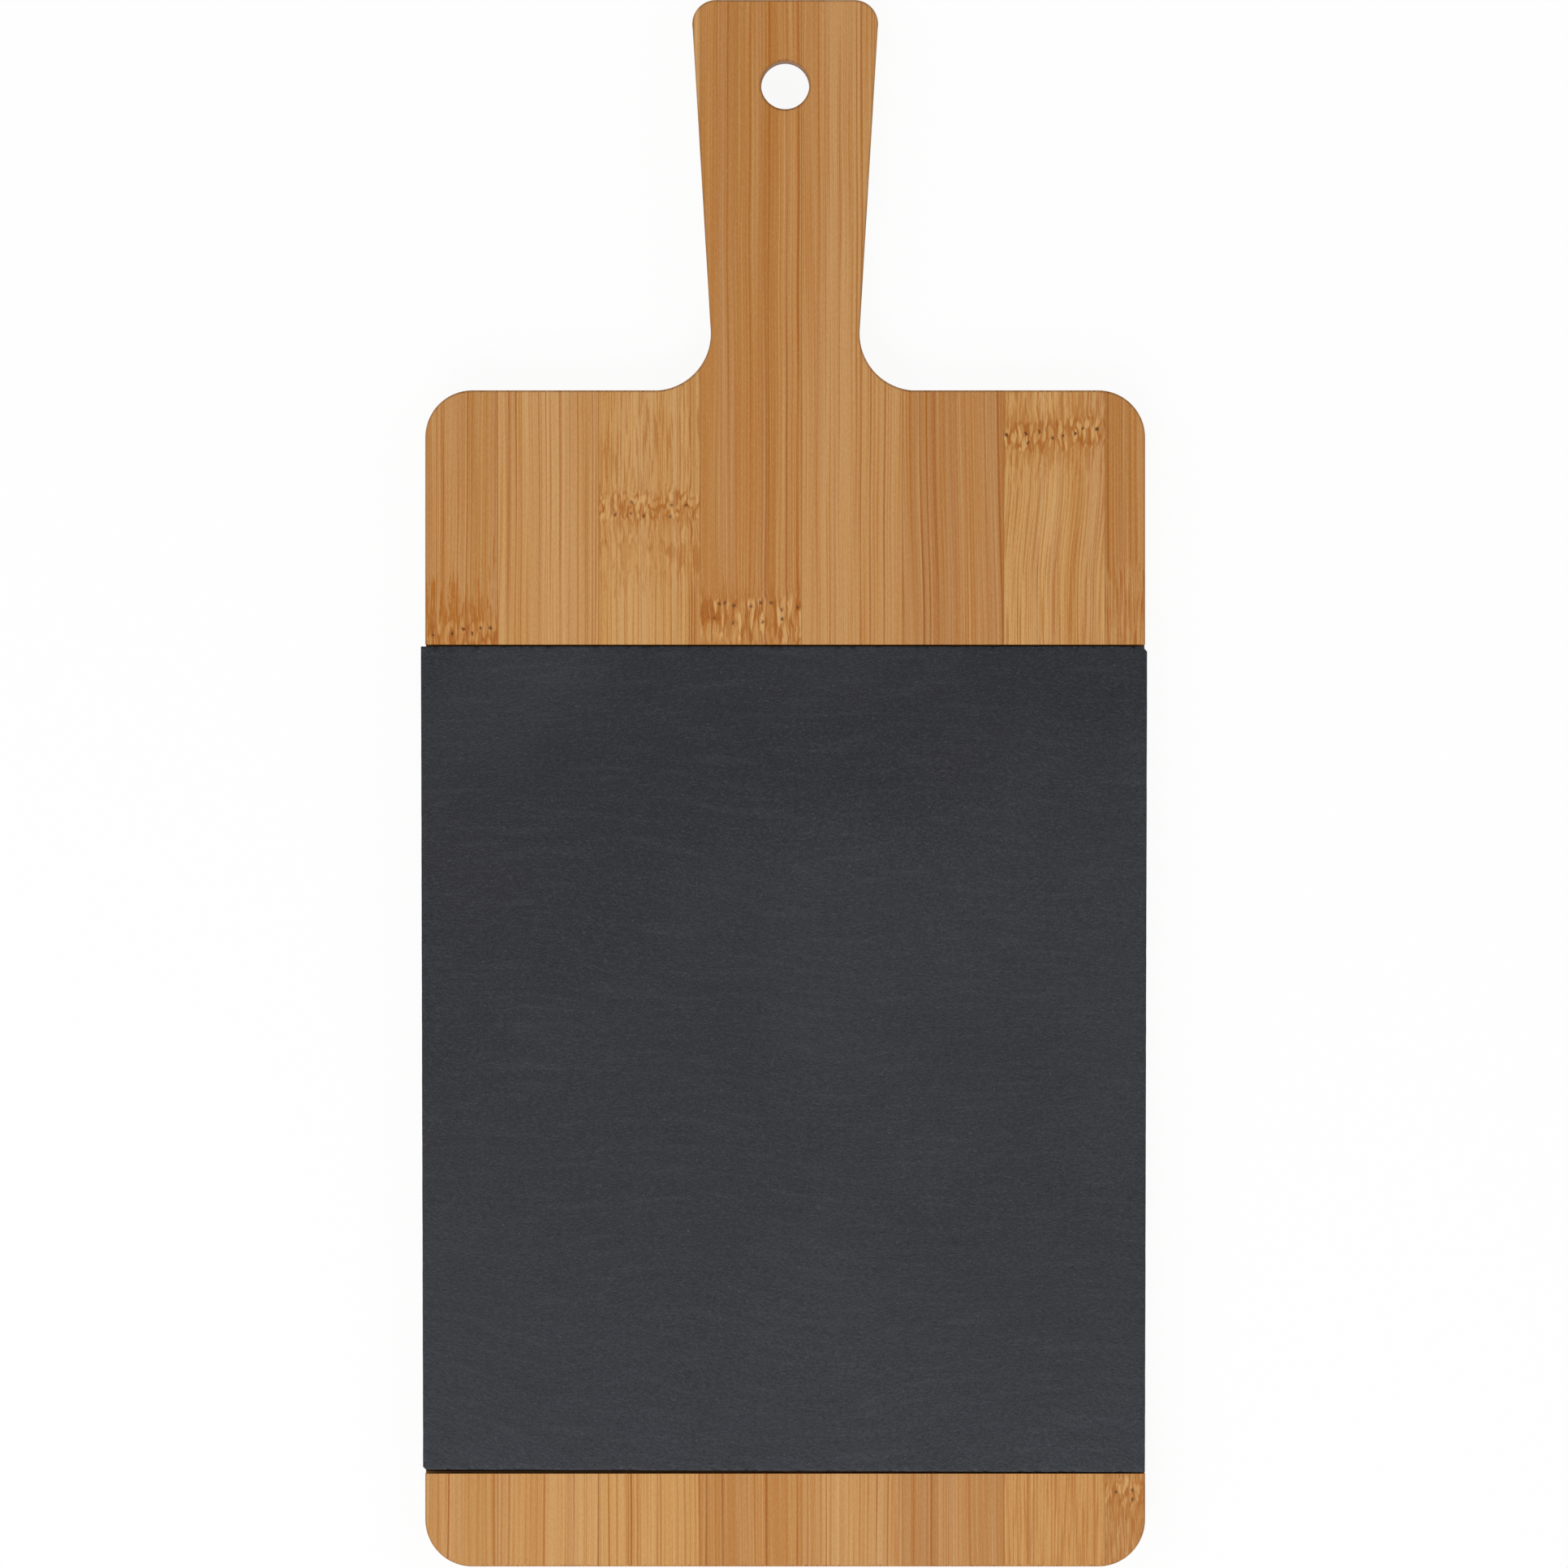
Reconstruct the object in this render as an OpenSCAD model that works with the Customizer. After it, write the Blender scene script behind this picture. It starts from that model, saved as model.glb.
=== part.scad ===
// Slate serving board: a bamboo paddle of three crossed plies, with a slate slab let in flush across it.
// Millimetres. It lies flat, top up (+Z), its handle towards +Y, with the origin under its middle.

/* [Board] */
// Length over all, from the foot to the end of the handle
board_l = 390; // [350:0.5:440]
// Width of the bamboo
board_w = 179.2; // [160:0.2:210]
// Radius of the board's four corners in plan
corner_r = 11.7; // [6:0.1:18]
// Width of the bevel that breaks the outer edges
edge_ease = 0.5; // [0.2:0.1:1]

/* [Handle] */
// Length of the handle, from the shoulder to its end
handle_l = 97.2; // [80:0.2:120]
// Width of the handle at its end corners
handle_end_w = 46.3; // [42:0.1:52]
// Width of the handle at the shoulder, without its fillets
handle_root_w = 35.4; // [30:0.1:41]
// Radius of the handle's end corners
handle_corner_r = 6; // [3:0.1:9]
// Radius of the fillets between the handle and the shoulder
neck_r = 14.2; // [9:0.1:20]
// Diameter of the hanging hole
hole_d = 12; // [8:0.1:16]
// Distance from the handle's end to the middle of the hole
hole_inset = 21.2; // [15:0.1:30]

/* [Bamboo plies] */
// Thickness of the face ply, whose strips run along the board
face_t = 4; // [3:0.1:4.8]
// Thickness of the core ply, whose strips run across the board
core_t = 4; // [3:0.1:6]
// Thickness of the back ply, whose strips run along the board
back_t = 4; // [3:0.1:6]
// Width of a whole strip of the face ply, whose two outer strips are trimmed to the board's sides
strip_w = 25.2; // [20:0.1:27]
// Strips side by side in the face ply
face_count = 8; // [6:1:8]
// Width of the sliver of the third strip that shows at the handle's left end corner
sliver_w = 1.95; // [0.5:0.05:2.5]
// Strips side by side in the back ply, all of one width
back_count = 7; // [5:2:9]
// Strips of the core ply from the foot to a little past the shoulder
core_body_count = 12; // [10:1:14]
// How far the last of those runs past the shoulder
core_neck_l = 9.6; // [4:0.1:14]
// Strips of the core ply along the rest of the handle, the last one trimmed at the end
core_handle_count = 4; // [3:1:5]
// What is left of the core ply's last strip
core_last_share = 0.476; // [0.2:0.001:0.5]

/* [Slate slab] */
// Bamboo between the shoulder and the slab's channel
head_l = 63.3; // [40:0.1:90]
// Bamboo between the channel and the foot
foot_l = 23.1; // [15:0.1:40]
// Thickness of the slab
slate_t = 5; // [4.6:0.1:6.5]
// How far the slab's head corners stand proud of the bamboo's sides
slate_head_proud = 0.85; // [0.5:0.05:1.5]
// How far the slab's foot corners stand proud of the bamboo's sides
slate_foot_proud = 0.3; // [0:0.05:1]
// How far the slab sits to the left of the board's middle
slate_shift = 0.3; // [0:0.1:0.8]
// Gap between the slab's head edge and the bamboo
head_gap = 0.4; // [0.2:0.1:1]
// Gap between the slab's foot edge and the bamboo, at the left
foot_gap_left = 1; // [0.2:0.1:1.5]
// Gap between the slab's foot edge and the bamboo, at the right
foot_gap_right = 0.3; // [0.2:0.1:1.5]
// Length worn off the slab's corner at the head, right
head_corner_worn = 1.3; // [0.5:0.1:2]
// Length worn off the slab's corner at the foot, left
foot_corner_worn = 0.7; // [0.3:0.1:2]

/* [Adhesive] */
// Thickness of the adhesive under the slab
bead_t = 0.5; // [0.3:0.1:0.8]
// Width of one bead of adhesive
bead_w = 8; // [4:0.5:12]
// Number of beads side by side
bead_count = 6; // [3:1:8]
// Distance from the channel's head and foot walls to the beads' ends
bead_end_inset = 16; // [8:0.5:30]
// Distance from the board's sides to the middle of the outer beads
bead_side_inset = 22; // [14:0.5:34]

/* [Hidden] */
$fn = 96;
// How far a cutter runs past the face that it cuts
overrun = 1;
// How far the handle's arcs run past the straight edges that they join, so that they cross and don't graze
arc_lap = 0.05;
// The strip, counted from the left, whose right edge runs up through the handle's left end corner
sliver_strip = 3;

board_t = back_t + core_t + face_t;
core_top = back_t + core_t;
end_y = board_l / 2;
foot_y = -board_l / 2;
shoulder_y = end_y - handle_l;

// The handle's sides spread towards its end
handle_taper = (handle_end_w - handle_root_w) / 2 / (handle_l - handle_corner_r);
taper_angle = atan(handle_taper);
function handle_half_w(y) = handle_root_w / 2 + (y - shoulder_y) * handle_taper;
neck_y = shoulder_y + neck_r - arc_lap;
neck_x = handle_half_w(neck_y) + (neck_r - arc_lap) / cos(taper_angle);
corner_x = handle_end_w / 2 - handle_corner_r;
corner_y = end_y - handle_corner_r;
hole_y = end_y - hole_inset;

// The channel runs across the whole board and is open at both sides
channel_head_y = shoulder_y - head_l;
channel_foot_y = foot_y + foot_l;
channel_mid_y = (channel_head_y + channel_foot_y) / 2;
bed_z = board_t - slate_t - bead_t;
slate_z = bed_z + bead_t;

// The edges of each ply's strips, the outer ones past the board's own edges
outer_x = board_w / 2 + overrun;
sliver_x = sliver_w - handle_end_w / 2;
face_edges = concat(
    [-outer_x], [for (k = [1 : face_count - 1]) sliver_x + (k - sliver_strip) * strip_w], [outer_x]
);
back_strip_w = board_w / back_count;
back_edges = concat(
    [-outer_x], [for (k = [1 : back_count - 1]) (k - back_count / 2) * back_strip_w], [outer_x]
);
core_count = core_body_count + core_handle_count;
core_neck_y = shoulder_y + core_neck_l;
core_body_w = (core_neck_y - foot_y) / core_body_count;
core_handle_w = (end_y - core_neck_y) / (core_handle_count - 1 + core_last_share);
core_edges = concat(
    [foot_y - overrun], [for (k = [1 : core_body_count]) foot_y + k * core_body_w],
    [for (k = [1 : core_handle_count - 1]) core_neck_y + k * core_handle_w], [end_y + overrun]
);

// A face strip runs on into the handle where it meets the neck. One that misses the neck and meets the
// wider end of the handle leaves a sliver there, apart from the rest of the strip.
neck_half_w = handle_half_w(neck_y);
function meets(i, half_w) = face_edges[i - 1] < half_w && face_edges[i] > -half_w;
function runs_on(i) = meets(i, neck_half_w);
sliver_strips = [for (i = [1 : face_count]) if (!runs_on(i) && meets(i, handle_end_w / 2)) i];

// Bamboo tones of the face strips, from left to right
face_tones = ["#B78452", "#BD8C59", "#C08F5D", "#B57D49", "#BE8B59", "#B3804E", "#BE8B55", "#B27C48"];
core_tone = "#B5824C";
back_tone = "#BC8A55";
slate_tone = "#3B3B40";
adhesive_tone = "#2A2A2C";

// A bar of the board's thickness that runs from y = 0 to y = length, its long edges broken
module eased_bar(width, length) {
    half = width / 2;
    flat = half - edge_ease;
    low = edge_ease;
    high = board_t - edge_ease;
    translate([0, length, 0])
        rotate([90, 0, 0])
            linear_extrude(length)
                polygon([
                    [-flat, 0], [flat, 0], [half, low], [half, high],
                    [flat, board_t], [-flat, board_t], [-half, high], [-half, low]
                ]);
}

// A disc of the board's thickness with broken rims
module eased_disc(radius) {
    flat = radius - edge_ease;
    rotate_extrude()
        polygon([
            [0, 0], [flat, 0], [radius, edge_ease], [radius, board_t - edge_ease],
            [flat, board_t], [0, board_t]
        ]);
}

// A round cutter through the board that also breaks the rims of what it leaves
module flared_cutter(radius) {
    flare = radius + edge_ease + overrun;
    rotate_extrude()
        polygon([
            [0, -overrun], [flare, -overrun], [radius, edge_ease], [radius, board_t - edge_ease],
            [flare, board_t + overrun], [0, board_t + overrun]
        ]);
}

// A straight cutter through the board from y = 0 to y = length. It leaves what lies at its left, with the
// edges of that broken.
module side_cutter(length) {
    flare = edge_ease + overrun;
    translate([0, length, 0])
        rotate([90, 0, 0])
            linear_extrude(length)
                polygon([
                    [-flare, -overrun], [flare, -overrun], [flare, board_t + overrun],
                    [-flare, board_t + overrun], [0, board_t - edge_ease], [0, edge_ease]
                ]);
}

module body_outline() {
    body_l = board_l - handle_l;
    side_l = body_l - 2 * corner_r;
    end_l = board_w - 2 * corner_r;
    body_mid_y = foot_y + body_l / 2;
    translate([0, foot_y + corner_r, 0])
        eased_bar(board_w, side_l);
    translate([end_l / 2, body_mid_y, 0])
        rotate([0, 0, 90])
            eased_bar(body_l, end_l);
    for (x = [-end_l / 2, end_l / 2], y = [foot_y + corner_r, shoulder_y - corner_r])
        translate([x, y, 0])
            eased_disc(corner_r);
}

module handle_outline() {
    root_y = shoulder_y - corner_r;
    root_x = handle_half_w(root_y) + overrun;
    side_l = (corner_y - root_y) / cos(taper_angle) + overrun;
    far = handle_corner_r + overrun;
    far_x = corner_x + far * cos(taper_angle);
    far_y = corner_y - far * sin(taper_angle);
    difference() {
        linear_extrude(board_t)
            polygon([
                [-root_x, root_y], [root_x, root_y], [far_x, far_y], [corner_x, corner_y],
                [corner_x, end_y + overrun], [-corner_x, end_y + overrun],
                [-corner_x, corner_y], [-far_x, far_y]
            ]);
        translate([corner_x + overrun, end_y, 0])
            rotate([0, 0, 90])
                side_cutter(2 * (corner_x + overrun));
        for (flip = [0, 1])
            mirror([flip, 0, 0])
                translate([corner_x, corner_y, 0])
                    rotate([0, 0, -taper_angle])
                        translate([handle_corner_r - arc_lap, -side_l, 0])
                            side_cutter(side_l + far);
    }
    for (x = [-corner_x, corner_x])
        translate([x, corner_y, 0])
            eased_disc(handle_corner_r);
}

module neck_fillets() {
    low_y = shoulder_y - corner_r;
    high_y = neck_y + neck_r * sin(taper_angle);
    difference() {
        translate([-neck_x, low_y, 0])
            cube([2 * neck_x, high_y - low_y, board_t]);
        for (x = [-neck_x, neck_x])
            translate([x, neck_y, 0])
                flared_cutter(neck_r);
    }
}

// The glued-up board with its outline cut, its hole drilled and its channel milled
module board() {
    difference() {
        union() {
            body_outline();
            handle_outline();
            neck_fillets();
        }
        translate([0, hole_y, 0])
            flared_cutter(hole_d / 2);
        translate([-board_w / 2 - overrun, channel_foot_y, bed_z])
            cube([board_w + 2 * overrun, channel_head_y - channel_foot_y, board_t]);
    }
}

// What the board holds between two corners
module board_between(low, high) {
    intersection() {
        board();
        translate(low)
            cube(high - low);
    }
}

module face_strip(i, y_from, y_to) {
    color(face_tones[(i - 1) % len(face_tones)])
        board_between([face_edges[i - 1], y_from, core_top], [face_edges[i], y_to, board_t + overrun]);
}

module head_strip(i) {
    face_strip(i, channel_mid_y, runs_on(i) ? end_y + overrun : neck_y);
}

module handle_edge_strip(i) {
    face_strip(i, neck_y, end_y + overrun);
}

module foot_strip(i) {
    face_strip(i, foot_y - overrun, channel_mid_y);
}

module core_strip(i) {
    color(core_tone)
        board_between([-outer_x, core_edges[i - 1], back_t], [outer_x, core_edges[i], core_top]);
}

module back_strip(i) {
    color(back_tone)
        board_between(
            [back_edges[i - 1], foot_y - overrun, -overrun],
            [back_edges[i], end_y + overrun, back_t]
        );
}

// The slab is a little out of square, and two of its corners are worn
module slate_slab() {
    head_y = channel_head_y - head_gap;
    left_y = channel_foot_y + foot_gap_left;
    right_y = channel_foot_y + foot_gap_right;
    head_left = -board_w / 2 - slate_head_proud - slate_shift;
    head_right = board_w / 2 + slate_head_proud - slate_shift;
    foot_left = -board_w / 2 - slate_foot_proud - slate_shift;
    foot_right = board_w / 2 + slate_foot_proud - slate_shift;
    color(slate_tone)
        translate([0, 0, slate_z])
            linear_extrude(slate_t)
                polygon([
                    [head_left, head_y],
                    [head_right - head_corner_worn, head_y],
                    [head_right, head_y - head_corner_worn],
                    [foot_right, right_y],
                    [foot_left + foot_corner_worn, left_y],
                    [foot_left, left_y + foot_corner_worn]
                ]);
}

// Round-ended beads that run along the board between the channel's floor and the slab
module slate_adhesive() {
    straight_l = channel_head_y - channel_foot_y - 2 * bead_end_inset - bead_w;
    spread = board_w - 2 * bead_side_inset;
    color(adhesive_tone)
        for (i = [0 : bead_count - 1])
            translate([spread * (i / (bead_count - 1) - 0.5), channel_mid_y, bed_z]) {
                translate([-bead_w / 2, -straight_l / 2, 0])
                    cube([bead_w, straight_l, bead_t]);
                for (y = [-straight_l / 2, straight_l / 2])
                    translate([0, y, 0])
                        cylinder(d = bead_w, h = bead_t);
            }
}

for (i = [1 : face_count]) {
    head_strip(i);
    foot_strip(i);
}
for (i = sliver_strips)
    handle_edge_strip(i);
for (i = [1 : core_count])
    core_strip(i);
for (i = [1 : back_count])
    back_strip(i);
slate_slab();
slate_adhesive();
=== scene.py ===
"""Slate serving board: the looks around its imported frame.

The board lies flat, its handle towards +Y, with the origin under its middle. Objects, the camera and the
lamps are placed in metres. All other sizes are in millimetres, and MM turns them into metres.
"""

import math

import bmesh
import bpy
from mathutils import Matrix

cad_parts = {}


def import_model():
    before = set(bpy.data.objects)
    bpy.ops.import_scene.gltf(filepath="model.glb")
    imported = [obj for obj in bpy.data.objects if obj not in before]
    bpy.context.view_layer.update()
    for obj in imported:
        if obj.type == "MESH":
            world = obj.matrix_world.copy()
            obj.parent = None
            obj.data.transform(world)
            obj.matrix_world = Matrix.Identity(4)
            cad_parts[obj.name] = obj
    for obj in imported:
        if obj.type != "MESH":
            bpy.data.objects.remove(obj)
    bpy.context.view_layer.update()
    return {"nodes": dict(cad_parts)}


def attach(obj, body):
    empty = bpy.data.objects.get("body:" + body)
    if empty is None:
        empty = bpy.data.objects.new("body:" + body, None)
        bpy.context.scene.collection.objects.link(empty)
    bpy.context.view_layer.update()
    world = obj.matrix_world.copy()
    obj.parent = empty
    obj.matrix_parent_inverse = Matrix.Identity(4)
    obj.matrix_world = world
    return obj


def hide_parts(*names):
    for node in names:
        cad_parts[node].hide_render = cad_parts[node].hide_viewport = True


MM = 0.001
TO_MM = (1000, 1000, 1000)
SOFT = {"interpolation_type": "SMOOTHSTEP"}

# The face ply's outer sides and glue lines, from the board's middle
SEAMS = (-89.6, -71.6, -46.4, -21.2, 4.0, 29.2, 54.4, 79.6, 89.6)

# Where the first strip of the core, or of the back, starts, and how wide each strip is
CORE_STRIPS = (-195.0, 25.2)
BACK_STRIPS = (-89.6, 25.6)

# Heights of the two joints between the plies
PLY_JOINTS = (4.0, 8.0)

# The slate's channel: a hair inside its two walls, and a hair under its floor
CHANNEL_HEAD = 34.3
CHANNEL_FOOT = -171.7
CHANNEL_FLOOR = 6.45

# Under the slate, between these two places, a strip's head looks turn into its foot looks
HEAD_LOOKS_END = -60.0
FOOT_LOOKS_START = -100.0

# The slab is a little out of square, and two of its corners are worn
SLAB_TOP = 12.0
SLAB_T = 5.0
HEAD_LEFT = (-90.75, 34.1)
HEAD_RIGHT = (90.15, 34.1)
FOOT_LEFT = (-90.2, -170.9)
FOOT_RIGHT = (89.6, -171.6)
HEAD_RIGHT_WORN = 1.3
FOOT_LEFT_WORN = 0.7


# Camera, light and floor


def add_camera():
    """A long lens straight above the board, with the handle at the top of the picture."""
    height = 2.7
    view_w = 390.3 * MM
    data = bpy.data.cameras.new("camera")
    data.sensor_fit = "HORIZONTAL"
    data.sensor_width = 36
    data.lens = data.sensor_width * height / view_w
    data.clip_end = 10
    camera = bpy.data.objects.new("camera", data)
    camera.location = (-0.3 * MM, -0.2 * MM, SLAB_TOP * MM + height)
    bpy.context.scene.collection.objects.link(camera)
    bpy.context.scene.camera = camera


def add_softbox(name, place, size, watts):
    """A square softbox that faces the board's middle. Its place and size are in metres."""
    data = bpy.data.lights.new(name, "AREA")
    data.shape = "SQUARE"
    data.size = size
    data.energy = watts
    lamp = bpy.data.objects.new(name, data)
    lamp.location = place
    lamp.rotation_euler = (-lamp.location.normalized()).to_track_quat("-Z", "Y").to_euler()
    bpy.context.scene.collection.objects.link(lamp)


def add_studio():
    """A softbox past the foot, two weaker ones at the sides, an even sky, and white paper below."""
    add_softbox("softbox_foot", (-0.25, -1.1, 1.3), 0.9, 13)
    add_softbox("softbox_left", (-1.3, 0.3, 1.5), 1.0, 6)
    add_softbox("softbox_right", (1.3, 0.4, 1.5), 1.0, 5)

    sky = bpy.data.worlds.new("studio")
    sky.use_nodes = True
    sky.node_tree.nodes["Background"].inputs["Color"].default_value = (1, 1, 1, 1)
    sky.node_tree.nodes["Background"].inputs["Strength"].default_value = 0.5
    bpy.context.scene.world = sky

    # The paper lies a hair lower than the board's underside, so that the two never share one plane
    paper_drop = 0.05 * MM
    bpy.ops.object.select_all(action="DESELECT")
    bpy.ops.mesh.primitive_plane_add(size=8, location=(0, 0, -paper_drop))
    floor = bpy.context.object
    floor.name = "floor"
    floor.data.materials.append(studio_paper())


# Materials


def linear(code):
    """A hex sRGB colour as linear RGBA."""
    parts = [int(code[i : i + 2], 16) / 255 for i in (1, 3, 5)]
    return tuple(p / 12.92 if p <= 0.04045 else ((p + 0.055) / 1.055) ** 2.4 for p in parts) + (1,)


def add(tree, kind, values=(), out=0, **settings):
    """Adds a node with its settings, its values or links by place or name, and gives back one output."""
    node = tree.nodes.new("ShaderNode" + kind)
    for key, value in settings.items():
        setattr(node, key, value)
    for key, value in values.items() if isinstance(values, dict) else enumerate(values):
        if isinstance(value, bpy.types.NodeSocket):
            tree.links.new(value, node.inputs[key])
        elif value is not None:
            node.inputs[key].default_value = value
    return node.outputs[out] if len(node.outputs) else node


def new_finish(name):
    """A new material with an empty node tree."""
    finish = bpy.data.materials.new(name)
    finish.use_nodes = True
    finish.node_tree.nodes.clear()
    return finish, finish.node_tree


def stained(tree, colour, coats):
    """Lays thin coats over a ground colour, each an amount from 0 to 1 and a hex colour."""
    for amount, code in coats:
        colour = add(tree, "Mix", {0: amount, 6: colour, 7: linear(code)}, 2, data_type="RGBA")
    return colour


def soft_shove(tree, place, scale=1.0):
    """Soft noise in three directions at once, as much below nought as above it."""
    noise = add(tree, "TexNoise", {"Vector": place, "Scale": scale, "Detail": 1.0}, "Color")
    return add(tree, "VectorMath", (noise, (0.5, 0.5, 0.5)), operation="SUBTRACT")


def studio_paper():
    """Matt white paper. It looks white from any side, and still takes a soft shadow."""
    finish, tree = new_finish("studio_paper_white")

    # To the camera and in reflections it is nearly all plain white, and the rest shows the shadow
    path = tree.nodes.new("ShaderNodeLightPath")
    rays = (path.outputs["Is Camera Ray"], path.outputs["Is Glossy Ray"])
    seen = add(tree, "Math", rays, operation="MAXIMUM")
    seen = add(tree, "Math", (seen, path.outputs["Is Transmission Ray"]), operation="MAXIMUM")
    seen = add(tree, "Math", (seen, 0.93), operation="MULTIPLY")
    paper = add(tree, "BsdfDiffuse", {"Color": linear("#F4F4F4")})
    white = add(tree, "Emission", {"Color": (1, 1, 1, 1), "Strength": 1.0})
    add(tree, "OutputMaterial", {"Surface": add(tree, "MixShader", (seen, paper, white))})
    return finish


# The bamboo's pattern, part by part. seed sets one strip's pattern apart from the next one's.


def streaks(tree, fibres, width, length, seed, detail=1.0):
    """Noise drawn out along the fibres. Width and length are one streak's size.

    The turn keeps the noise's own square grid from showing as even rows."""
    drawn = add(tree, "Mapping", {
        "Vector": fibres, "Location": (seed * 3.7, seed * 1.3, seed * 2.9),
        "Rotation": (0.7, 0.4, 0.9), "Scale": (1 / width, 1 / length, 1 / width),
    })
    return add(tree, "TexNoise", {"Vector": drawn, "Scale": 1.0, "Detail": detail, "Roughness": 0.55})


def bundles(tree, fibres, width, length, seed, thick):
    """Dark fibre bundles: long flat threads, seen as lines along the strip and as ticks on its cut ends.

    Width and length are the room for one bundle, and thick is how far it reaches from its middle."""
    drawn = add(tree, "Mapping", {
        "Vector": fibres, "Location": (seed * 1.9, seed * 4.3, seed * 0.7),
        "Rotation": (0.5, 0.6, 0.8), "Scale": (1 / width, 1 / length, 0.6 / width),
    })
    cell = add(tree, "TexVoronoi", {"Vector": drawn, "Scale": 1.0}, "Distance")
    thread = add(tree, "MapRange", (cell, thick / width, 0.3 * thick / width), **SOFT)

    # One in ten is left out, and two in ten are at full strength
    share = add(tree, "SeparateColor", (cell.node.outputs["Color"],), "Red")
    share = add(tree, "MapRange", (share, 0.1, 0.8, 0.0, 1.0))
    return add(tree, "Math", (thread, share), operation="MULTIPLY")


def strong_lines(tree, across, lines):
    """A strip's few strongest lines: their places across the board, and strengths that also widen them."""
    low = lines[0][0] - 1.5
    high = lines[-1][0] + 1.5
    share = add(tree, "MapRange", (across, low, high))
    strong = add(tree, "ValToRGB", (share,))
    ramp = strong.node.color_ramp
    ramp.elements[0].color = ramp.elements[1].color = (0, 0, 0, 1)
    for place, strength in lines:
        half = 0.2 + 0.2 * strength
        for at, value in ((place - half, 0), (place, strength), (place + half, 0)):
            stop = ramp.elements.new((at - low) / (high - low))
            stop.color = (value, value, value, 1)
    return strong


def in_channel(tree, up_down, height):
    """1 inside the slate's channel, and 0 outside."""
    inside = add(tree, "Math", (up_down, CHANNEL_HEAD), operation="LESS_THAN")
    for part in (
        add(tree, "Math", (up_down, CHANNEL_FOOT), operation="GREATER_THAN"),
        add(tree, "Math", (height, CHANNEL_FLOOR), operation="GREATER_THAN"),
        add(tree, "MapRange", (height, 11.8, 11.4)),
    ):
        inside = add(tree, "Math", (inside, part), operation="MULTIPLY")
    return inside


def strip_seams(tree, across, sides):
    """The gap from the nearer side of one strip."""
    half = (sides[1] - sides[0]) / 2
    off = add(tree, "Math", (across, sides[0] + half), operation="SUBTRACT")
    off = add(tree, "Math", (off,), operation="ABSOLUTE")
    return add(tree, "MapRange", (off, 0.0, half, half, 0.0))


def ply_seams(tree, across, first, wide, seed):
    """For a ply of equal strips: the gap from the nearest glue line, and a strip's own tone and shift."""
    number = add(tree, "Math", (across, first), operation="SUBTRACT")
    number = add(tree, "Math", (number, wide), operation="DIVIDE")
    off = add(tree, "Math", (number,), operation="FRACT")
    off = add(tree, "Math", (off, 0.5), operation="SUBTRACT")
    off = add(tree, "Math", (off,), operation="ABSOLUTE")
    to_seam = add(tree, "MapRange", (off, 0.0, 0.5, wide / 2, 0.0))
    number = add(tree, "Math", (number,), operation="FLOOR")
    own = add(tree, "Math", (number, seed), operation="ADD")
    own = add(tree, "TexWhiteNoise", {"W": own}, noise_dimensions="1D")

    # A strip's grain lies this far on from its neighbour's, both along it and in depth
    apart = 37.7
    number = add(tree, "Math", (number, apart), operation="MULTIPLY")
    return to_seam, own, add(tree, "CombineXYZ", (None, number, number))


def wandering(tree, fibres, along, lean, seed):
    """Lets the fibres wander sideways, by under a millimetre over some 80 mm, and lean where told."""
    scale = (0.04, 0.013, 0.04)
    wander = add(tree, "Mapping", {"Vector": fibres, "Location": (seed, seed, seed), "Scale": scale})
    wander = soft_shove(tree, wander)
    wander = add(tree, "VectorMath", (wander, (2.0, 0, 0)), operation="MULTIPLY")
    fibres = add(tree, "VectorMath", (fibres, wander))
    for start, end, shift in lean:
        bend = add(tree, "MapRange", (along, start, end, 0.0, shift), **SOFT)
        fibres = add(tree, "VectorMath", (fibres, add(tree, "CombineXYZ", (bend,))))
    return fibres


def find_knots(tree, place, fibres, across, along, ragged, knots, seed):
    """Swirls the fibres at each knot, and gives them back with a row for each knot.

    A row holds the knot, where its strip is, its ragged band, and a measure that is 0 at its middle and 1
    where its brown runs out."""
    swirl = add(tree, "Mapping", {"Vector": place, "Location": (seed, 0, 0), "Scale": (0.45, 0.2, 0.3)})
    swirl = soft_shove(tree, swirl)
    rows = []
    for knot in knots:
        half = knot["half"]
        left, right = knot["sides"]
        level = add(tree, "Math", (across, -knot["slope"], -knot["at"]), operation="MULTIPLY_ADD")
        level = add(tree, "Math", (along, level), operation="ADD")
        inside = add(tree, "Math", (across, left), operation="GREATER_THAN")
        before = add(tree, "Math", (across, right), operation="LESS_THAN")
        inside = add(tree, "Math", (inside, before), operation="MULTIPLY")

        near = add(tree, "Math", (level,), operation="ABSOLUTE")
        near = add(tree, "MapRange", (near, half + 7.0, half - 1.0), **SOFT)
        near = add(tree, "Math", (near, inside), operation="MULTIPLY")
        reach = (knot["swirl"], 2 * knot["swirl"], 0)
        warp = add(tree, "VectorMath", (swirl, reach), operation="MULTIPLY")
        warp = add(tree, "VectorMath", {0: warp, "Scale": near}, operation="SCALE")
        fibres = add(tree, "VectorMath", (fibres, warp))

        band = add(tree, "Math", (ragged, 6.0, -3.0), operation="MULTIPLY_ADD")
        band = add(tree, "Math", (level, band), operation="ADD")
        band = add(tree, "Math", (band,), operation="ABSOLUTE")
        band = add(tree, "MapRange", (band, half + 0.8, half - 0.8), **SOFT)

        above = add(tree, "MapRange", (level, 0.0, knot["above"]), clamp=False)
        below = add(tree, "MapRange", (level, 0.0, -knot["below"]), clamp=False)
        away = add(tree, "Math", (above, below), operation="MAXIMUM")
        rows.append((knot, inside, band, away))
    return fibres, rows


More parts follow.
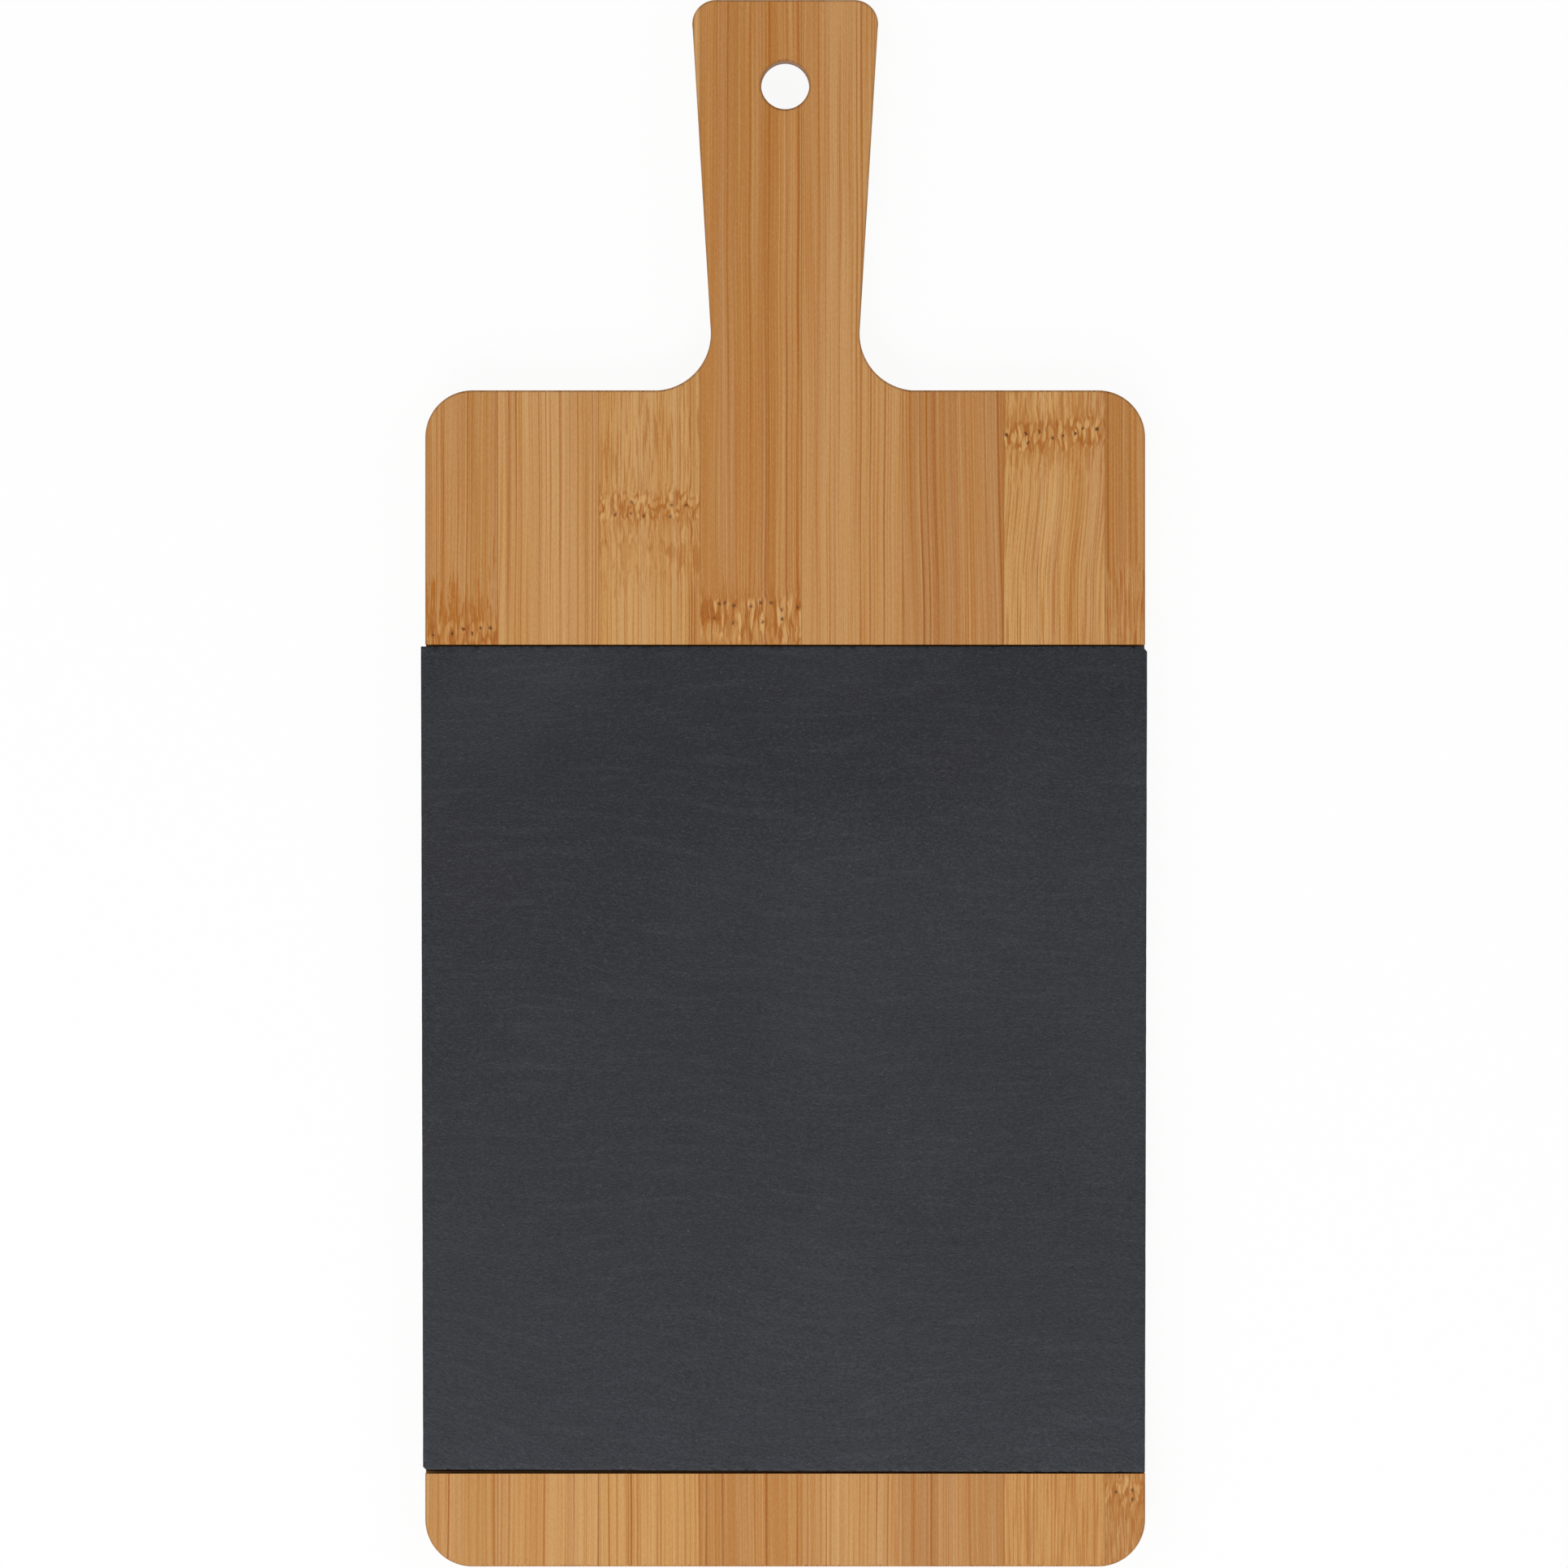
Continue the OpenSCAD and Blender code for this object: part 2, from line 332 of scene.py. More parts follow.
def torn_coats(tree, fibres, along, ragged, lasting, torn, seed):
    """Where the fibres are torn, they show as short dashes, and the long lines fade."""
    coats = []
    for low, high, amount, length in torn:
        dash = streaks(tree, fibres, 0.46, length, seed + 3)
        rag = add(tree, "Math", (ragged, 16.0, -8.0), operation="MULTIPLY_ADD")
        rag = add(tree, "Math", (along, rag), operation="ADD")
        zone = add(tree, "MapRange", (rag, low - 2, low + 2, 0.0, amount), **SOFT)
        end = add(tree, "MapRange", (rag, high + 2, high - 2), **SOFT)
        zone = add(tree, "Math", (zone, end), operation="MULTIPLY")
        dark = add(tree, "MapRange", (dash, 0.52, 0.64), **SOFT)
        light = add(tree, "MapRange", (dash, 0.46, 0.36, 0.0, 0.6), **SOFT)
        coats.append((add(tree, "Math", (dark, zone), operation="MULTIPLY"), "#A25A14"))
        coats.append((add(tree, "Math", (light, zone), operation="MULTIPLY"), "#CCA066"))
        whole = add(tree, "Math", (zone, -0.8, 1.0), operation="MULTIPLY_ADD")
        lasting = add(tree, "Math", (lasting, whole), operation="MULTIPLY")
    return coats, lasting


def knot_coats(tree, fibres, ragged, lasting, rows, seed):
    """A knot: brown patches that run out into the fibres, and a band of pale cells with brown rims."""
    if not rows:
        return [], lasting
    patches = streaks(tree, fibres, 0.85, 9, seed + 6, 3.0)
    rag = add(tree, "Math", (ragged, 0.5), operation="SUBTRACT")
    sideways = add(tree, "Math", (rag, 1.2), operation="MULTIPLY")
    lengthways = add(tree, "Math", (rag, 5.0), operation="MULTIPLY")
    rag = add(tree, "CombineXYZ", (sideways, lengthways))
    ragged_fibres = add(tree, "VectorMath", (fibres, rag))
    coats = []
    for knot, inside, band, away in rows:
        patch = add(tree, "Math", (away, -0.2, patches), operation="MULTIPLY_ADD")
        patch = add(tree, "MapRange", (patch, 0.32, 0.48, 0.0, knot["brown"]), **SOFT)
        patch = add(tree, "Math", (patch, inside), operation="MULTIPLY")
        band = add(tree, "Math", (band, inside), operation="MULTIPLY")
        wide, tall = knot["cell"]
        cells = add(tree, "Mapping", {
            "Vector": ragged_fibres, "Location": (seed, 0, 0),
            "Rotation": (0, 0, math.radians(knot["slant"])), "Scale": (1 / wide, 1 / tall, 0.2),
        })
        cells = add(tree, "TexVoronoi", {"Vector": cells, "Scale": 1.0}, "Distance")
        share = add(tree, "SeparateColor", (cells.node.outputs["Color"],), "Green")
        share = add(tree, "MapRange", (share, 0.0, 0.5, 0.15, 1.0), **SOFT)
        pale = add(tree, "MapRange", (cells, 0.56, 0.36, 0.0, knot["pale"]), **SOFT)
        pale = add(tree, "Math", (pale, share), operation="MULTIPLY")
        rims = add(tree, "MapRange", (cells, 0.5, 0.68, 0.0, knot["rims"]), **SOFT)
        coats += [
            (patch, "#AA6418"),
            (add(tree, "Math", (band, 0.25), operation="MULTIPLY"), "#B4742E"),
            (add(tree, "Math", (pale, band), operation="MULTIPLY"), "#D4A568"),
            (add(tree, "Math", (rims, band), operation="MULTIPLY"), "#9C520C"),
        ]
        whole = add(tree, "Math", (band, -0.25, 1.0), operation="MULTIPLY_ADD")
        lasting = add(tree, "Math", (lasting, whole), operation="MULTIPLY")
    return coats, lasting


def pore_coats(tree, place, knots):
    """The pores that a culm's node leaves: dark dots, a little uneven, each in a brown halo."""
    flat = add(tree, "VectorMath", (place, soft_shove(tree, place, 1.4)))
    flat = add(tree, "VectorMath", (flat, (1, 0.8, 0)), operation="MULTIPLY")
    gap = None
    for knot in knots:
        for x, y in knot["pores"]:
            one = add(tree, "VectorMath", (flat, (x, 0.8 * y, 0)), "Value", operation="DISTANCE")
            gap = one if gap is None else add(tree, "Math", (gap, one), operation="MINIMUM")
    dark = knots[0]["dark"]
    return [
        (add(tree, "MapRange", (gap, 0.72, 0.28, 0.0, 0.6 * dark), **SOFT), "#84440E"),
        (add(tree, "MapRange", (gap, 0.42, 0.2, 0.0, dark), **SOFT), "#3C1A03"),
    ]


def bamboo(
    name, seed, tones, sides=None, ply=None, lines=(), foot_lines=(), foot_deep=0.0,
    lean=(), torn=(), knots=(), crosswise=False,
):
    """Carbonised bamboo strips, glued, sanded and oiled: matt tan wood with fine orange-brown fibre lines.

    tones are the light and the deep ground colour. A single strip has sides, its two glue lines. A whole
    ply has ply instead: where its first strip starts, and how wide each strip is. In a crosswise ply the
    fibres run across the board.
    lines and foot_lines are the strongest lines of the head and foot parts, and foot_deep is how much of
    the deep colour the foot part gets. lean moves the fibres sideways: from, to and by how much. torn are
    lengths where the fibres break up into dashes: from, to, how much and how long a dash is. knots are
    where the culm's nodes cross the strip."""
    finish, tree = new_finish(name)

    # Millimetres, with the fibres along Y. facing is 1 on the cut ends.
    turn = (0, 0, math.radians(-90 if crosswise else 0))
    object_place = tree.nodes.new("ShaderNodeTexCoord")
    place = add(tree, "Mapping", {
        "Vector": object_place.outputs["Object"], "Rotation": turn, "Scale": TO_MM,
    })
    across = add(tree, "SeparateXYZ", (place,), "X")
    along = add(tree, "SeparateXYZ", (place,), "Y")
    height = add(tree, "SeparateXYZ", (place,), "Z")
    up_down = across if crosswise else along
    facing = add(tree, "Mapping", {"Vector": object_place.outputs["Normal"], "Rotation": turn})
    facing = add(tree, "SeparateXYZ", (facing,), "Y")
    facing = add(tree, "Math", (facing,), operation="ABSOLUTE")

    # In a whole ply each strip has a grain of its own
    fibres = place
    if ply:
        to_seam, own, shift = ply_seams(tree, across, *ply, seed)
        fibres = add(tree, "VectorMath", (fibres, shift))
    else:
        to_seam = strip_seams(tree, across, sides)
    fibres = wandering(tree, fibres, along, lean, seed)
    ragged = streaks(tree, place, 0.9, 7, seed + 5)
    fibres, knot_rows = find_knots(tree, place, fibres, across, along, ragged, knots, seed)

    tone = streaks(tree, fibres, 6.5, 500, seed)
    rosy = streaks(tree, fibres, 3.2, 300, seed + 8)
    fade = streaks(tree, fibres, 2.2, 60, seed + 4)
    hair = streaks(tree, fibres, 0.36, 80, seed + 2)
    fleck = streaks(tree, place, 0.3, 0.9, seed + 9, 2.0)
    thread = bundles(tree, fibres, 0.9, 700, seed, 0.29)
    thin = bundles(tree, fibres, 0.6, 300, seed + 11, 0.21)
    strand = bundles(tree, fibres, 1.2, 900, seed + 31, 0.33)
    dots = bundles(tree, fibres, 0.55, 900, seed + 21, 0.34)

    # The ground
    shade = add(tree, "MapRange", (tone, 0.25, 0.75), **SOFT)
    ground = {0: shade, 6: linear(tones[0]), 7: linear(tones[1])}
    colour = add(tree, "Mix", ground, 2, data_type="RGBA")
    deeper = add(tree, "MapRange", (along, HEAD_LOOKS_END, FOOT_LOOKS_START, 0.0, foot_deep))
    coats = [
        (add(tree, "MapRange", (rosy, 0.45, 0.75, 0.0, 0.4), **SOFT), "#B6855A"),
        (deeper, tones[1]),
    ]
    if ply:
        coats.append((add(tree, "MapRange", (own, 0.0, 1.0, 0.0, 0.6)), "#AB733C"))

    # Torn fibres and knots, where the long lines don't last
    lasting = add(tree, "MapRange", (fade, 0.28, 0.6, 0.4, 1.0), **SOFT)
    more, lasting = torn_coats(tree, fibres, along, ragged, lasting, torn, seed)
    coats += more
    more, lasting = knot_coats(tree, fibres, ragged, lasting, knot_rows, seed)
    coats += more

    # The long lines, from fine to strong
    thread = add(tree, "Math", (thread, lasting), operation="MULTIPLY")
    thin = add(tree, "Math", (thin, lasting), operation="MULTIPLY")
    strand = add(tree, "Math", (strand, lasting), operation="MULTIPLY")
    coats += [
        (add(tree, "MapRange", (hair, 0.5, 0.7, 0.0, 0.62), **SOFT), "#B06A1E"),
        (add(tree, "MapRange", (hair, 0.48, 0.26, 0.0, 0.42), **SOFT), "#CFA672"),
        (add(tree, "Math", (thin, 0.8), operation="MULTIPLY"), "#A85E12"),
        (add(tree, "Math", (thread, 0.95), operation="MULTIPLY"), "#A05A10"),
        (strand, "#964E0A"),
    ]
    if lines:
        sideways = add(tree, "SeparateXYZ", (fibres,), "X")
        strong = strong_lines(tree, sideways, lines)
        if foot_lines:
            at_foot = add(tree, "MapRange", (along, HEAD_LOOKS_END, FOOT_LOOKS_START))
            strong = add(tree, "Mix", (at_foot, None, strong, strong_lines(tree, sideways, foot_lines)))
        # Each is one bundle just under the face, and stays a tick on the cut ends
        skin = add(tree, "MapRange", (height, 10.9, 11.4, 0.15, 1.0), **SOFT)
        strong = add(tree, "Math", (strong, skin), operation="MULTIPLY")
        coats.append((add(tree, "Math", (strong, lasting), operation="MULTIPLY"), "#9A520C"))
    if knots:
        coats += pore_coats(tree, place, knots)

    # Flecks, painted shade and sheen, glue and oil
    channel = in_channel(tree, up_down, height)
    cut = add(tree, "MapRange", (facing, 0.5, 0.8, 0.0, 0.8))
    gaps = []
    for level in PLY_JOINTS:
        gap = add(tree, "Math", (height, level), operation="SUBTRACT")
        gaps.append(add(tree, "Math", (gap,), operation="ABSOLUTE"))
    ply_joint = add(tree, "Math", gaps, operation="MINIMUM")
    coats += [
        (add(tree, "MapRange", (fleck, 0.46, 0.8, 0.0, 0.28)), "#A2682E"),
        (add(tree, "MapRange", (fleck, 0.5, 0.2, 0.0, 0.2)), "#D0A872"),
        # Painted sheen: the foot end is painted a shade paler, for the softbox's sheen from past the foot
        (add(tree, "MapRange", (up_down, 40.0, -185.0, 0.0, 0.05)), "#E8C88E"),
        # Painted shade: the slate's channel, seen only down the narrow gaps beside the slate, is painted
        # almost black
        (add(tree, "Math", (channel, 0.94), operation="MULTIPLY"), "#1A110A"),
        # Glue shows as a hair of brown in each joint
        (add(tree, "MapRange", (to_seam, 0.22, 0.05, 0.0, 0.5), **SOFT), "#8C5424"),
        # The top's eased edges, and all that is lower, are painted a little darker
        (add(tree, "MapRange", (height, 11.95, 11.7, 0.0, 0.3), **SOFT), "#8A6038"),
        # Cut ends drink more oil, and show the fibre bundles as dots
        (add(tree, "MapRange", (facing, 0.6, 0.9, 0.0, 0.35), **SOFT), "#9A6430"),
        (add(tree, "Math", (dots, cut), operation="MULTIPLY"), "#6E4018"),
        # Glue shows between the plies too
        (add(tree, "MapRange", (ply_joint, 0.16, 0.05, 0.0, 0.55), **SOFT), "#7E4A20"),
    ]
    colour = stained(tree, colour, coats)

    relief = add(tree, "Math", (thread, hair), operation="ADD")
    bump = add(tree, "Bump", {"Strength": 0.3, "Distance": 0.06 * MM, "Height": relief}, invert=True)
    rough = add(tree, "MapRange", (tone, 0.3, 0.7, 0.5, 0.58))
    shader = add(tree, "BsdfPrincipled", {
        "Base Color": colour, "Roughness": rough, "Normal": bump, "Specular IOR Level": 0.2,
    })
    add(tree, "OutputMaterial", {"Surface": shader})
    return finish


def slate_honed():
    """Natural slate, split and honed: dark grey, blue and violet in turns, with a faint silky sheen."""
    finish, tree = new_finish("slate_honed_dark_grey")
    object_place = tree.nodes.new("ShaderNodeTexCoord")
    place = add(tree, "Mapping", {"Vector": object_place.outputs["Object"], "Scale": TO_MM})
    across = add(tree, "SeparateXYZ", (place,), "X")
    along = add(tree, "SeparateXYZ", (place,), "Y")
    facing = add(tree, "SeparateXYZ", (object_place.outputs["Normal"],), "Z")

    # The grain runs across the board and swings up and down over some 90 mm. At the foot's left it dives.
    swing = add(tree, "TexNoise", {"Vector": place, "Scale": 0.011, "Detail": 1.0})
    swing = add(tree, "Math", (swing, 28.0), operation="MULTIPLY")
    dive = add(tree, "MapRange", (across, -112.0, -52.0, -22.0, 0.0), **SOFT)
    at_foot = add(tree, "MapRange", (along, -105.0, -150.0), **SOFT)
    swing = add(tree, "Math", (dive, at_foot, swing), operation="MULTIPLY_ADD")
    grain = add(tree, "VectorMath", (place, add(tree, "CombineXYZ", (None, swing))))
    turn = {"Vector": grain, "Rotation": (0.6, 0.4, 0.8)}
    fine = add(tree, "Mapping", {**turn, "Scale": (1 / 1.2, 1 / 0.4, 1 / 0.6)})
    fine = add(tree, "TexNoise", {"Vector": fine, "Scale": 1.0, "Detail": 3.0, "Roughness": 0.65})
    long = add(tree, "Mapping", {**turn, "Scale": (1 / 16, 1 / 1.6, 1 / 2)})
    long = add(tree, "TexNoise", {"Vector": long, "Scale": 1.0, "Detail": 2.0})

    # The real grit is finer. It is drawn as coarse as it needs to show.
    grit = add(tree, "Mapping", {**turn, "Scale": (2.4, 3.2, 2.4)})
    grit = add(tree, "TexNoise", {"Vector": grit, "Scale": 1.0, "Detail": 2.0})

    # Blotches, about 36 mm and about 71 mm from one to the next
    cloud = add(tree, "TexNoise", {"Vector": place, "Scale": 0.028, "Detail": 2.0})
    wash = add(tree, "TexNoise", {"Vector": place, "Scale": 0.014, "Detail": 2.0})

    # The stone's layers, each about 0.4 mm thick, which show on its sides
    layers = add(tree, "Mapping", {"Vector": place, "Scale": (0.04, 0.04, 2.6)})
    layers = add(tree, "TexNoise", {"Vector": layers, "Scale": 1.0, "Detail": 3.0})
    layers = add(tree, "MapRange", (layers, 0.5, 0.66, 0.0, 0.6), **SOFT)
    side = add(tree, "MapRange", (facing, 0.6, 0.3))

    # A few small flakes of mica, in fewer than one place in ten
    mica = add(tree, "TexVoronoi", {"Vector": place, "Scale": 0.5}, "Distance")
    flake = add(tree, "SeparateColor", (mica.node.outputs["Color"],), "Red")
    flake = add(tree, "MapRange", (flake, 0.9, 0.94, 0.0, 0.25))
    mica = add(tree, "MapRange", (mica, 0.12, 0.06))
    mica = add(tree, "Math", (mica, flake), operation="MULTIPLY")

    # Painted sheen: the stone is painted paler from the head to the foot, for the softbox's sheen from past
    # the foot
    down = add(tree, "MapRange", (along, 34.0, -172.0))
    ground = {0: down, 6: linear("#1B1D23"), 7: linear("#2B2D34")}
    colour = add(tree, "Mix", ground, 2, data_type="RGBA")
    coats = [
        (add(tree, "MapRange", (cloud, 0.42, 0.62, 0.0, 0.4), **SOFT), "#28252A"),
        (add(tree, "MapRange", (wash, 0.42, 0.66, 0.0, 0.4), **SOFT), "#2C3338"),
        (add(tree, "MapRange", (long, 0.5, 0.75, 0.0, 0.14), **SOFT), "#45484D"),
        (add(tree, "MapRange", (long, 0.5, 0.25, 0.0, 0.16), **SOFT), "#141418"),
        (add(tree, "MapRange", (fine, 0.5, 0.75, 0.0, 0.24), **SOFT), "#54575D"),
        (add(tree, "MapRange", (fine, 0.52, 0.27, 0.0, 0.5), **SOFT), "#0F0F12"),
        (add(tree, "MapRange", (grit, 0.5, 0.72, 0.0, 0.19), **SOFT), "#585B61"),
        (add(tree, "MapRange", (grit, 0.5, 0.28, 0.0, 0.28), **SOFT), "#0D0D10"),
        (mica, "#7A7D82"),
        # The sawn sides are drier and paler, and show the stone's layers
        (add(tree, "MapRange", (facing, 0.8, 0.3, 0.0, 0.45), **SOFT), "#4A4C50"),
        (add(tree, "Math", (layers, side), operation="MULTIPLY"), "#17181B"),
    ]
    colour = stained(tree, colour, coats)
    relief = add(tree, "Math", (fine, long), operation="ADD")
    bump = add(tree, "Bump", {"Strength": 0.4, "Distance": 0.1 * MM, "Height": relief})
    rough = add(tree, "MapRange", (fine, 0.3, 0.7, 0.62, 0.5))
    shader = add(tree, "BsdfPrincipled", {
        "Base Color": colour, "Roughness": rough, "Normal": bump, "Specular IOR Level": 0.3,
    })
    add(tree, "OutputMaterial", {"Surface": shader})
    return finish


def adhesive_cured():
    """Construction adhesive, squeezed and cured: black, rubbery and dull, with a lumpy skin."""
    finish, tree = new_finish("adhesive_black_cured")

    # Lumps of about 3 mm, on coordinates in metres
    lumps = add(tree, "TexNoise", {
        "Vector": add(tree, "TexCoord", out="Object"), "Scale": 350.0, "Detail": 3.0,
    })
    dust = add(tree, "MapRange", (lumps, 0.5, 0.8, 0.0, 0.35), **SOFT)
    ground = {0: dust, 6: linear("#1C1B1D"), 7: linear("#4A4038")}
    colour = add(tree, "Mix", ground, 2, data_type="RGBA")
    bump = add(tree, "Bump", {"Strength": 0.5, "Distance": 0.2 * MM, "Height": lumps})
    shader = add(tree, "BsdfPrincipled", {"Base Color": colour, "Roughness": 0.68, "Normal": bump})
    add(tree, "OutputMaterial", {"Surface": shader})
    return finish


# The bamboo strips

# What a knot has unless it says otherwise. at is its place along the board, half is half its height, and
# slope tilts it. above and below are how far its brown patches run, and swirl is how far it may move the
# fibres. cell is the width and height of its pale cells, and slant turns them by so many degrees. brown,
# pale, rims and dark are the strengths of the patches, the cells, the brown between them, and the pores.
KNOT = dict(
    slope=0.0, above=8.0, below=8.0, swirl=1.5, slant=0,
    brown=0.7, pale=0.7, rims=0.6, dark=0.8, pores=(),
)

# The face ply's strips, with the looks that bamboo explains. A strong line is a place and a strength.
FACE_STRIPS = {
    1: dict(
        tones=("#C28E56", "#B88144"),
        lines=((-85.0, 0.6), (-78.0, 0.6)),
        foot_lines=((-84.0, 1.0), (-72.5, 0.8)),
        knots=(
            dict(
                KNOT, at=36.8, half=3.6, above=15.0, slant=12, cell=(1.2, 5),
                brown=1.0, pale=0.5, rims=0.8, pores=(
                    (-87.6, 36.9), (-82.9, 37.3), (-80.1, 38.4), (-77.9, 37.3), (-75.9, 38.6),
                    (-73.4, 38.6),
                ),
            ),
        ),
    ),
    2: dict(
        tones=("#CC9D64", "#BF874A"),
        lines=((-69.0, 0.8), (-56.0, 0.8), (-48.0, 0.7)),
        foot_lines=((-69.0, 0.8), (-60.0, 0.8), (-52.5, 0.8), (-46.5, 0.9)),
    ),
    3: dict(
        tones=("#D0A369", "#C59050"),
        foot_deep=0.85,
        lines=((-40.0, 0.7), (-32.5, 0.7), (-26.0, 0.7), (-22.6, 0.9)),
        foot_lines=((-36.5, 0.8), (-31.0, 0.8), (-25.0, 1.0), (-21.5, 1.0)),
        torn=((62.0, 110.0, 0.55, 10), (48.0, 62.0, 0.45, 8)),
        knots=(
            dict(
                KNOT, at=68.8, half=3.3, above=5.0, below=6.0, swirl=1.8, cell=(1.05, 2.3),
                brown=0.55, pale=0.85, dark=0.6, pores=(
                    (-38.3, 69.9), (-38.5, 67.2), (-35.2, 66.4), (-42.3, 66.8), (-28.4, 69.3),
                    (-24.7, 69.3), (-28.6, 66.4),
                ),
            ),
            # The first knot's fainter echo
            dict(
                KNOT, at=56.5, half=3.4, above=4.0, below=6.0, swirl=0.8, cell=(1.6, 8),
                brown=0.12, pale=0.5, rims=0.4,
            ),
        ),
    ),
    4: dict(
        tones=("#BF874B", "#B17536"),
        lines=((-14.0, 0.8), (-8.5, 0.8), (0.5, 0.8), (3.3, 1.0)),
        foot_lines=((-19.5, 1.0), (-4.5, 1.0), (3.0, 1.0)),
        knots=(
            dict(
                KNOT, at=40.6, half=5.2, above=9.0, cell=(1.15, 7),
                brown=0.6, pale=0.95, rims=0.75, dark=0.65, pores=(
                    (-16.5, 44.6), (-15.0, 45.0), (-12.8, 44.2), (-8.4, 44.0), (-6.2, 45.0), (-3.5, 44.8),
                    (-0.9, 43.2), (-0.7, 40.8), (3.1, 43.8), (-17.7, 41.0), (-13.0, 39.8), (-5.6, 40.2),
                ),
            ),
        ),
    ),
    5: dict(
        tones=("#C6955C", "#B98046"),
        lines=((19.0, 0.8), (21.5, 0.8), (25.0, 0.8)),
        foot_lines=((5.5, 0.8), (25.5, 1.0)),
    ),
    6: dict(
        tones=("#BA844C", "#AB733C"),
        lines=((31.0, 0.6), (37.0, 0.8), (49.5, 0.6), (53.0, 0.9)),
        foot_lines=((30.0, 0.8), (34.5, 0.8), (44.5, 0.7), (53.5, 1.0)),
        lean=((98.0, 34.0, -1.6),),
    ),
    7: dict(
        tones=("#CFA064", "#C28B4C"),
        foot_deep=1.0,
        lines=((60.0, 0.5), (73.0, 0.7)),
        foot_lines=((57.5, 0.8), (62.5, 0.8), (74.0, 0.8)),
        lean=((76.0, 50.0, 1.9),),
        torn=((76.0, 110.0, 0.6, 8), (20.0, 74.0, 0.55, 24), (-200.0, -160.0, 0.6, 18)),
        knots=(
            dict(
                KNOT, at=80.4, slope=0.095, half=3.4, above=8.5, swirl=1.8, slant=16, cell=(0.95, 3.6),
                brown=0.6, pale=0.9, rims=0.65, dark=0.85, pores=(
                    (55.2, 86.6), (59.9, 87.0), (60.5, 84.8), (63.3, 87.6), (66.6, 86.0), (69.2, 86.4),
                    (72.2, 87.0), (74.0, 88.3), (77.7, 88.1),
                ),
            ),
        ),
    ),
    8: dict(
        tones=("#BD864B", "#AD7338"),
        foot_deep=0.3,
        lines=((80.5, 1.0), (86.0, 0.9), (87.5, 1.0)),
        foot_lines=((80.5, 0.9), (88.0, 0.8)),
        torn=((20.0, 54.0, 0.8, 9), (-200.0, -160.0, 0.8, 5)),
        knots=(
            dict(
                KNOT, at=-176.6, half=3.0, above=5.0, below=5.0, swirl=1.6, cell=(1.1, 3.0),
                pale=0.75, rims=0.75, dark=0.75, pores=((82.3, -176.4), (86.4, -176.0), (86.4, -178.2)),
            ),
        ),
    ),
}


def pore_row(first, last, count, level):
    """Places along a knot for its pores, unevenly spaced and a little up and down."""
    step = (last - first) / (count - 1)
    return tuple(
        (first + step * (i + 0.25 * math.sin(2.7 * i)), level + 0.7 * math.sin(4.1 * i))
        for i in range(count)
    )


# The back can't be seen in the picture, so its knots are made up, each on one strip
BACK_KNOTS = (
    dict(
        KNOT, sides=(-64.0, -38.4), at=-118.0, slope=0.03, half=3.4, above=9.0, below=7.0, slant=6,
        cell=(1.4, 4), brown=0.75, pores=pore_row(-61.5, -41.5, 6, -119.6),
    ),
    dict(
        KNOT, sides=(-12.8, 12.8), at=56.0, half=4.4, above=7.0, swirl=1.4, slant=-4,
        cell=(1.3, 7), pale=0.85, rims=0.5, pores=pore_row(-11.0, 10.5, 7, 58.3),
    ),
    dict(
        KNOT, sides=(38.4, 64.0), at=-62.0, slope=-0.05, half=3.0, above=6.0, below=12.0, slant=-10,
        cell=(1.3, 5), brown=0.8, pores=pore_row(41.0, 61.0, 6, -64.5),
    ),
    dict(
        KNOT, sides=(-89.6, -64.0), at=20.0, half=3.2, cell=(1.5, 2.6), pale=0.65, rims=0.7,
        pores=pore_row(-86.5, -67.5, 5, 20.7),
    ),
)


def dress_bamboo(nodes):
    """One finish for each face strip, on both sides of the slate, one for the core and one for the back."""
    for number, strip in FACE_STRIPS.items():
        sides = SEAMS[number - 1 : number + 1]
        knots = [dict(knot, sides=sides) for knot in strip.get("knots", ())]
        looks = {**strip, "sides": sides, "knots": knots}
        finish = bamboo("bamboo_face_strip_%d" % number, 10.0 * number, **looks)
        for kind in ("head_strip_", "foot_strip_", "handle_edge_strip_"):
            if kind + str(number) in nodes:
                coat(nodes[kind + str(number)], finish)
    core = bamboo("bamboo_core_ply", 131.0, ("#C38F57", "#B37C42"), ply=CORE_STRIPS, crosswise=True)
    back = bamboo("bamboo_back_ply", 171.0, ("#CB9C64", "#BD844A"), ply=BACK_STRIPS, knots=BACK_KNOTS)
    for name, node in nodes.items():
        if name.startswith("core_strip_"):
            coat(node, core)
        if name.startswith("back_strip_"):
            coat(node, back)


def coat(piece, finish):
    """Puts one finish on the whole of a piece."""
    piece.data.materials.clear()
    piece.data.materials.append(finish)


# The slate slab


def pick(piece, kind, test):
    """In edit mode, selects only the vertices or faces whose middle passes the test."""
    bpy.ops.mesh.select_mode(type="VERT" if kind == "verts" else "FACE")
    bpy.ops.mesh.select_all(action="DESELECT")
    mesh = bmesh.from_edit_mesh(piece.data)
    for item in getattr(mesh, kind):
        middle = item.co if kind == "verts" else item.calc_center_median()
        if test(middle / MM):
            item.select_set(True)
    bmesh.update_edit_mesh(piece.data)


def cut_all(place, facing, drop_outside=False):
    """In edit mode, cuts the mesh with a plane, and may drop what lies on the side that the plane faces."""
    bpy.ops.mesh.select_all(action="SELECT")
    where = (place[0] * MM, place[1] * MM, place[2] * MM)
    bpy.ops.mesh.bisect(plane_co=where, plane_no=facing, clear_outer=drop_outside)


def merge_doubles(gap):
    """In edit mode, joins vertices that lie closer than a gap."""
    bpy.ops.mesh.select_all(action="SELECT")
    bpy.ops.mesh.remove_doubles(threshold=gap * MM)


